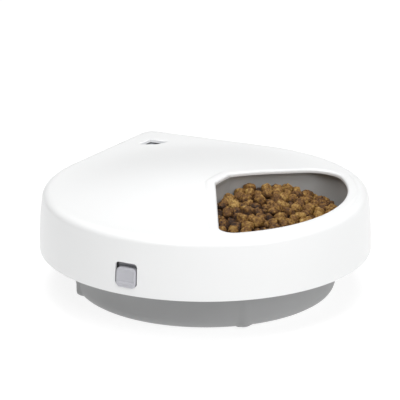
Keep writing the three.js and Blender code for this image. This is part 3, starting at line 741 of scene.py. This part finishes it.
def make_button(side, upright):
    half, bottom, top, corner = BUTTON_HALF_WIDTH, BUTTON_BOTTOM, BUTTON_TOP, BUTTON_CORNER

    def lift(x, z, reach):
        """Leans the button's face back towards its top, which lies inside the window."""
        lean = 1 - BUTTON_LEAN * (z - bottom) / (top - bottom)
        return upright(x, z, BUTTON_BACK + (reach - BUTTON_BACK) * lean)

    skin = Skin()
    rings = []
    for reach, shrink, shortened in BUTTON_LEVELS:
        outline = rounded_rectangle(half - shrink, bottom + shrink + shortened, top - shrink,
                                    corner - shrink * 0.6, 0, 8)
        rings.append([lift(x, z, reach) for x, z in outline])
    skin.loft(rings)
    skin.add(rings[0], [tuple(range(len(rings[0])))], flip=True)
    edge = rounded_rectangle(half - BUTTON_EDGE, bottom + BUTTON_EDGE, top - BUTTON_EDGE,
                             corner - 0.7, 0, 8)
    grid = [
        (x, z)
        for x in np.linspace(-half + 1.5, half - 1.5, 21)
        for z in np.linspace(bottom + 1.6, top - 1.6, 45)
    ]
    grid = [p for p in grid if inside(p, edge)]
    skin.patch(edge, [], [(grid, False)],
               lambda x, z: lift(x, z, BUTTON_FACE + button_relief(x, z)))
    button = skin.build(f"latch_button_{side}")
    outward_faces(button)
    button.data.set_sharp_from_angle(angle=math.radians(60))
    finish_piece(button, "latch_grey", f"latch_{side}", f"latch_{side}")


def make_lever(side, upright):
    for label, (size, low, high) in LEVER_PARTS.items():
        outline = rounded_rectangle(*size, 0, 4)
        part = plug_shape(f"latch_{label}_{side}", outline, low, high, upright)
        part.data.set_sharp_from_angle(angle=math.radians(40))
        finish_piece(part, "latch_grey", f"latch_{side}")


# ---------------------------------------------------------------- base
LOBE_REACH, LOBE_RADIUS = 112.4, 8.3
LOBE_BEARINGS = (-90.0, 180.0, 0.0)
LOBE_LIMIT = 60         # no lobe reaches past this y
WALL_FOOT = (118.8, 11.5)
WALL_TOP = (120.2, 40.5)

# Outlines of the base as (radius, height), from the middle of the underside up and back inside.
FOOT_LINE = [
    (108.5, 2.0), (112.0, 2.0), (114.4, 2.6), (116.4, 3.9), (117.7, 5.9), (118.4, 8.2), WALL_FOOT,
]
FLANGE_LINE = [
    (144.4, WALL_TOP[1]), (145.2, 41.2), (145.2, 42.4), (144.6, FLANGE_TOP), (140.2, FLANGE_TOP),
    (139.5, 43.7), (139.5, RIM_TOP - 0.5), (139.0, RIM_TOP), (138.0, RIM_TOP),
    (137.5, RIM_TOP - 0.5), (137.5, 43.7), (136.8, FLANGE_TOP),
]
INNER_LINE = [
    (119.6, FLANGE_TOP), (118.8, 42.0), (115.9, 12.0), (114.3, 7.0), (112.0, 5.2), (109.0, 4.5),
]


def lobe_reach(point, lobe_radius):
    """How far the rounded foot lobes push the base wall out from a point on it."""
    radius = float(np.hypot(*point))
    bearing = math.degrees(math.atan2(point[1], point[0]))
    best = radius
    for lobe in LOBE_BEARINGS:
        turn = math.radians((bearing - lobe + 180) % 360 - 180)
        across = LOBE_REACH * math.sin(turn)
        if abs(turn) > 1 or abs(across) > lobe_radius:
            continue
        reach = LOBE_REACH * math.cos(turn) + math.sqrt(lobe_radius**2 - across**2)
        best = max(best, reach)
    return best - radius


def blended_lobe(point, z):
    """The same, softened where lobe and wall meet."""
    radius = float(np.hypot(*point))
    bearing = math.degrees(math.atan2(point[1], point[0]))
    lobe_radius = LOBE_RADIUS - 3.2 * max(0.0, 1 - (z - BASE_BOTTOM) / 2.4) ** 1.5
    total = 0.0
    for offset, weight in ((-1.0, 0.1), (-0.5, 0.22), (0, 0.36), (0.5, 0.22), (1.0, 0.1)):
        total += weight * lobe_reach(polar(radius, bearing + offset), lobe_radius)
    return total


def base_ring(radius, z, family=BASE_OUTLINE, lobes=False):
    ring = []
    for point in family.ring(radius):
        grow = 1.0
        if lobes and point[1] < LOBE_LIMIT:
            grow += blended_lobe(point, z) / np.hypot(*point)
        ring.append((point[0] * grow, point[1] * grow, z))
    return ring


def base_cutters():
    """Plugs for the battery door's opening, its pivots and the feet's recesses."""
    low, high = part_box("battery_door")
    middle_y = (low.y + high.y) / 2 / MM - AXIS_Y
    half_y = (high.y - low.y) / 2 / MM + HATCH_PLAY
    hatch = rounded_rectangle(HATCH_HALF_WIDTH, middle_y - half_y, middle_y + half_y, 1.0, 0, 3)
    pivots = rounded_rectangle(HATCH_PIVOT_HALF_WIDTH, middle_y - half_y,
                               middle_y - half_y + HATCH_PIVOT_DEPTH, 0.6, 0, 3)
    cutters = [plug_shape("cut_hatch", hatch, 0.0, 6.0), plug_shape("cut_pivot", pivots, 0.0, 6.0)]
    for name in ("front", "left", "right", "rear"):
        low, high = (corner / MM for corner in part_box(f"foot_{name}"))
        centre = (low + high) / 2
        radius = high.x - centre.x + FOOT_PLAY
        recess = arc(centre.x, centre.y - AXIS_Y, radius, 0, 360 - 7.5, 47)
        cutters.append(plug_shape(f"cut_foot_{name}", recess, 0.0, BASE_BOTTOM + FOOT_RECESS))
    return cutters


def make_base():
    wall_rise = WALL_TOP[1] - WALL_FOOT[1]
    rings = [base_ring(radius, z, lobes=True) for radius, z in FOOT_LINE]
    for i in range(1, 9):
        radius, z = WALL_FOOT[0] + 0.6 * i / 8, WALL_FOOT[1] + wall_rise * i / 8
        rings.append(base_ring(radius, z, lobes=True))
    rings.append(base_ring(*WALL_TOP, lobes=True))
    rings += [base_ring(radius, z, FLANGE_OUTLINE) for radius, z in FLANGE_LINE]
    rings += [base_ring(radius, z) for radius, z in INNER_LINE]
    skin = Skin()
    skin.loft(rings)
    count = BASE_OUTLINE.COUNT
    skin.add(rings[0], [tuple(range(count))], flip=True)
    skin.add(rings[-1], [tuple(range(count))])
    base = skin.build("base_shell", 50)
    outward_faces(base)
    cut_away(base, base_cutters())
    base.data.set_sharp_from_angle(angle=math.radians(50))
    finish_piece(base, "grey_shell", "housing", "base_pan")


# ---------------------------------------------------------------- bowl
def bowl_height(x, y):
    share = min(1.0, math.hypot(x, y) / BOWL_RADIUS)
    return BOWL_RIM + BOWL_DOME * (1 - share * share) ** 2


# A rounded bead round each compartment's mouth: inset from the mouth, rise over the crown.
POCKET_BEAD = [
    (-2.3, 0.0), (-1.8, 0.35), (-1.1, 0.75), (-0.3, 0.85), (0.4, 0.65), (0.8, 0.25), (0.9, -0.2),
    (0.7, -0.6), (0.35, -1.2),
]

# The bowl's outer edge and the curtain that hangs from it: distance inside the radius, fall.
BOWL_EDGE = [(0.8, 0.0), (0.2, 0.25), (0.0, 0.9), (0.0, 3.4), (0.3, 9), (0.7, 19)]
CROWN_RINGS = (6, 12, 17, 22, 30, 45, 60, 75, 90, 105, 120, 132.6)


def circle(radius, step):
    """A closed circle about the axis with a point every step degrees."""
    return arc(0, 0, radius, 0, 360 - step, 360 // step - 1)


def add_pocket(skin, bearing):
    """Adds one compartment and returns its mouth's outline."""
    corner_share = 0.2      # the rounded foot of the wall takes this share of the depth
    foot_radius = 8.0
    rings = []
    for inset, rise in POCKET_BEAD:
        outline = pocket_outline(bearing, inset)
        tops = [min(bowl_height(*p) + rise, BOWL_TOP - 0.05) for p in outline]
        rings.append([(p[0], p[1], z) for p, z in zip(outline, tops)])
    for share in np.linspace(0.08, 0.80, 9):
        outline = pocket_outline(bearing, POCKET_DRAFT * share)
        rings.append([
            (p[0], p[1], bowl_height(*p) * (1 - share) + BOWL_FLOOR * share) for p in outline
        ])
    for degrees in range(15, 91, 15):
        turn = math.radians(degrees)
        inset = POCKET_DRAFT * 0.8 + foot_radius * (1 - math.cos(turn)) + 1.2 * math.sin(turn)
        z = BOWL_FLOOR + corner_share * (BOWL_RIM - BOWL_FLOOR) * (1 - math.sin(turn))
        rings.append([(p[0], p[1], z) for p in pocket_outline(bearing, inset)])
    skin.loft(rings)
    skin.patch([(p[0], p[1]) for p in rings[-1]], [], [], lambda x, y: (x, y, BOWL_FLOOR))
    return [np.array(p[:2]) for p in rings[0]]


def make_bowl():
    skin = Skin()
    mouths = [add_pocket(skin, SERVING_BEARING + 120 * i) for i in range(3)]
    extra = [([(0.0, 0.0)], False)]
    for radius in CROWN_RINGS:
        ring = [p for p in circle(radius, 3) if not any(inside(p, m) for m in mouths)]
        extra.append((ring, False))
    rim = circle(BOWL_RADIUS - BOWL_EDGE[0][0], 2)
    skin.patch(rim, mouths, extra, lambda x, y: (x, y, bowl_height(x, y)))
    edge = [
        [(p[0], p[1], BOWL_RIM - fall) for p in circle(BOWL_RADIUS - inset, 2)]
        for inset, fall in BOWL_EDGE
    ]
    skin.loft(edge, flip=True)
    bowl = skin.build("bowl_tray")
    modifier(bowl, "wall", "SOLIDIFY", thickness=BOWL_SHEET * MM, offset=-1.0,
             use_even_offset=False)
    finish_piece(bowl, "grey_shell", "turntable", "bowl", finish="bowl_grey_lightened")


# ---------------------------------------------------------------- food
KIBBLE_RADIUS = 5.5
KIBBLE_COUNT = 330
PUSH, SINK = 0.22, 0.12                 # each round parts the balls and lets them down this much
HEAP_DEPTH = 18                         # no ball settles further than this below the crest
BED_DEPTH = 9.5                         # the bed under the pieces lies this far below their crests
# The bed's tone: painted shade, dark, in the gaps between the pieces.
BED_PAINTED_SHADE = -0.9
HEAP_LEVEL = 86.8
HEAP_LOW_SIDE = (0.956, -0.294)         # the heap slopes down in this direction


def pocket_frame(bearing):
    turn = math.radians(bearing)
    along = np.array([math.cos(turn), math.sin(turn)])
    across = np.array([-math.sin(turn), math.cos(turn)])
    return along, across


def heap_height(x, y):
    """The food's surface: full to the rim inside, falling away to the outer wall."""
    radius = math.hypot(x, y)
    along_slope = HEAP_LOW_SIDE[0] * x + HEAP_LOW_SIDE[1] * y
    level = HEAP_LEVEL + 6.0 * smooth((radius - 22) / 30) - 13.0 * smooth((radius - 78) / 50)
    return level - 13.0 * smooth((along_slope - 38) / 65)


def settle_kibble(count, rounds):
    """Places balls on the heap and pushes them apart and off the walls.

    A piece's ends reach further than its ball, and the walls' rounded corners aren't allowed for,
    so some pieces pass a few millimetres through a wall, out of sight from above.
    """
    pick = random.Random(7)
    along, across = pocket_frame(SERVING_BEARING)
    room = pocket_outline(SERVING_BEARING, 6.0)
    spots = []
    radii = []
    while len(spots) < count:
        p = along * pick.uniform(16, 130) + across * pick.uniform(-110, 110)
        if not inside(p, room):
            continue
        depth = KIBBLE_RADIUS + pick.choice((0, 0, 0, 1, 1)) * 7.0
        spots.append([p[0], p[1], heap_height(*p) - depth + pick.uniform(-1, 1)])
        radii.append(KIBBLE_RADIUS * pick.uniform(0.88, 1.12))
    spots = np.array(spots)
    radii = np.array(radii)
    half = math.radians(60)
    for _ in range(rounds):
        gap = spots[:, None, :] - spots[None, :, :]
        distance = np.linalg.norm(gap, axis=2) + 1e-9
        np.fill_diagonal(distance, 1e9)
        reach = radii[:, None] + radii[None, :]
        push = np.clip(reach - distance, 0, None)
        spots += PUSH * (gap / distance[..., None] * push[..., None]).sum(1)
        spots[:, 2] -= SINK
        crest = np.array([heap_height(x, y) for x, y in spots[:, :2]])
        spots[:, 2] = np.clip(spots[:, 2], crest - HEAP_DEPTH, crest - KIBBLE_RADIUS + 1.5)
        inset = POCKET_GAP + POCKET_DRAFT * (BOWL_RIM - spots[:, 2]) / (BOWL_RIM - BOWL_FLOOR)
        inset += radii * 0.95
        for sign in (-1, 1):
            normal = math.sin(half) * along - sign * math.cos(half) * across
            short = inset - spots[:, :2] @ normal
            spots[:, :2] += np.clip(short, 0, None)[:, None] * normal
        distance = np.linalg.norm(spots[:, :2], axis=1)
        over = np.clip(distance - (POCKET_RADIUS - inset), 0, None)
        spots[:, :2] -= spots[:, :2] / distance[:, None] * over[:, None]
        short = np.clip(POCKET_CHORD - POCKET_GAP + inset - spots[:, :2] @ along, 0, None)
        spots[:, :2] += short[:, None] * along
    return spots, radii


def kibble_form():
    """A short rounded cylinder, as if cut from a rope of dough: vertices and faces."""
    ball = bmesh.new()
    bmesh.ops.create_icosphere(ball, subdivisions=3, radius=1.0)
    unit = np.array([v.co for v in ball.verts])
    across = np.hypot(unit[:, 0], unit[:, 1])
    unit /= ((across**4 + np.abs(unit[:, 2] * 1.08) ** 4) ** 0.25)[:, None] * 1.06
    faces = np.array([[v.index for v in f.verts] for f in ball.faces])
    ball.free()
    return unit, faces


def make_kibble():
    spots, radii = settle_kibble(KIBBLE_COUNT, 220)
    unit, faces = kibble_form()
    pick = random.Random(11)
    points = []
    polygons = []
    tones_and_shade = []
    for spot, radius in zip(spots, radii):
        seed = Vector((pick.uniform(0, 90), pick.uniform(0, 90), pick.uniform(0, 90)))
        stretch = np.array([pick.uniform(0.9, 1.12) for _ in range(3)])
        turn = np.array(Vector((pick.random(), pick.random(), pick.random())).to_track_quat(
            "Z", "Y").to_matrix())
        shape = []
        for v in unit:
            at = Vector(v)
            swell = 0.16 * noise.noise(at * 1.5 + seed) + 0.12 * noise.noise(at * 3.4 + seed)
            swell += 0.07 * noise.noise(at * 7.0 + seed)
            shape.append(v * (1 + swell))
        shape = (np.array(shape) * stretch) @ turn.T * radius + spot
        start = len(points)
        points += [place(*p) for p in shape]
        polygons += (faces + start).tolist()
        # Painted shade: lower down in the heap the pieces are coloured darker, for the shade between
        # them.
        own = 0.4 * pick.random()
        tones_and_shade += [
            own + 0.6 * smooth((z - heap_height(x, y) + BED_DEPTH) / 9.0) for x, y, z in shape
        ]
    mesh = bpy.data.meshes.new("kibble_heap")
    mesh.from_pydata(points, [], polygons)
    mesh.shade_smooth()
    heap = bpy.data.objects.new("kibble_heap", mesh)
    bpy.context.scene.collection.objects.link(heap)
    set_tone_and_shade(heap, tones_and_shade)
    finish_piece(heap, "kibble", "turntable")


def set_tone_and_shade(obj, tones_and_shade):
    # The tone attribute carries each piece's own tone with painted shade, and the bed's painted shade.
    tone = obj.data.attributes.new("tone", "FLOAT", "POINT")
    tone.data.foreach_set("value", tones_and_shade)


def make_bed():
    """Solid food under the loose pieces, so that no floor shows between them; its colour is painted
    dark for the shade in the gaps.
    """
    def top(x, y):
        return heap_height(x, y) - BED_DEPTH

    bed = Skin()
    outline = pocket_outline(SERVING_BEARING, 11.0)
    low = [(p[0], p[1], BOWL_FLOOR + 0.4) for p in pocket_outline(SERVING_BEARING, 15.0)]
    bed.loft([low, [(p[0], p[1], top(*p)) for p in outline]])
    bed.add(low, [tuple(range(len(low)))], flip=True)
    grid = [(x, y) for x in range(-60, 132, 6) for y in range(-132, 20, 6)]
    grid = [p for p in grid if inside(p, outline)]
    bed.patch(outline, [], [(grid, False)],
              lambda x, y: (x, y, top(x, y) + noise.noise(Vector((x, y, 0)) / 4)))
    under = bed.build("kibble_bed")
    set_tone_and_shade(under, [BED_PAINTED_SHADE] * len(under.data.vertices))
    finish_piece(under, "kibble", "turntable")


# ---------------------------------------------------------------- stage
FLOOR_REACH = 12.0
LIGHT_TARGET = Vector((0, 0, 0.05))
LIGHTS = [          # name, position, width, height, watts
    ("key_top", (0.1, 0.0, 1.9), 1.5, 1.5, 32.0),
    ("front_right", (0.75, -1.75, 1.15), 1.3, 1.0, 14.0),
    ("left_high", (-0.9, -0.9, 1.7), 0.8, 0.8, 9.0),
]


def make_stage():
    floor = bpy.data.meshes.new("floor")
    reach = FLOOR_REACH
    corners = [(-reach, -reach, 0), (reach, -reach, 0), (reach, reach, 0), (-reach, reach, 0)]
    floor.from_pydata(corners, [], [(0, 1, 2, 3)])
    obj = bpy.data.objects.new("floor", floor)
    bpy.context.scene.collection.objects.link(obj)
    material, _, bsdf = node_tree("pale_floor")
    bsdf.inputs["Base Color"].default_value = (0.3, 0.3, 0.3, 1)
    bsdf.inputs["Roughness"].default_value = 0.95
    bsdf.inputs["Specular IOR Level"].default_value = 0.1
    bsdf.inputs["Emission Color"].default_value = (1, 1, 1, 1)
    bsdf.inputs["Emission Strength"].default_value = 0.82
    floor.materials.append(material)

    world = bpy.data.worlds.new("studio")
    bpy.context.scene.world = world
    world.use_nodes = True
    background = world.node_tree.nodes["Background"]
    background.inputs["Color"].default_value = (1, 1, 1, 1)
    background.inputs["Strength"].default_value = 0.2

    for name, position, width, height, watts in LIGHTS:
        light = bpy.data.lights.new(name, "AREA")
        light.shape = "RECTANGLE"
        light.size, light.size_y = width, height
        light.energy = watts
        lamp = bpy.data.objects.new(name, light)
        lamp.location = position
        aim = LIGHT_TARGET - Vector(position)
        lamp.rotation_euler = aim.to_track_quat("-Z", "Y").to_euler()
        bpy.context.scene.collection.objects.link(lamp)


CAMERA_AZIMUTH = -17.07
CAMERA_ELEVATION = 20.39
CAMERA_DISTANCE = 2.0
CAMERA_LENS = 197.1
CAMERA_FOOT = Vector((0.0, AXIS_Y * MM, 0.006))     # the camera stands off from this point
CAMERA_AIM = Vector((0.0026, 0.0028, 0.0724))


def make_camera():
    azimuth, elevation = math.radians(CAMERA_AZIMUTH), math.radians(CAMERA_ELEVATION)
    away = Vector((
        math.sin(azimuth) * math.cos(elevation),
        -math.cos(azimuth) * math.cos(elevation),
        math.sin(elevation),
    ))
    data = bpy.data.cameras.new("camera")
    data.lens = CAMERA_LENS
    data.sensor_width = 36.0
    data.clip_end = 100
    camera = bpy.data.objects.new("camera", data)
    camera.location = CAMERA_FOOT + away * CAMERA_DISTANCE
    camera.rotation_euler = (CAMERA_AIM - camera.location).to_track_quat("-Z", "Y").to_euler()
    bpy.context.scene.collection.objects.link(camera)
    bpy.context.scene.camera = camera
    bpy.context.scene.view_settings.view_transform = "Standard"


make_camera()
make_stage()
dress_cad_nodes()
make_lid()
make_seat_ring()
make_latch_lugs()
for latch_side, latch_bearing in LATCH_BEARINGS.items():
    make_button(latch_side, facing(latch_bearing))
    make_lever(latch_side, facing(latch_bearing))
make_base()
make_bowl()
make_kibble()
make_bed()
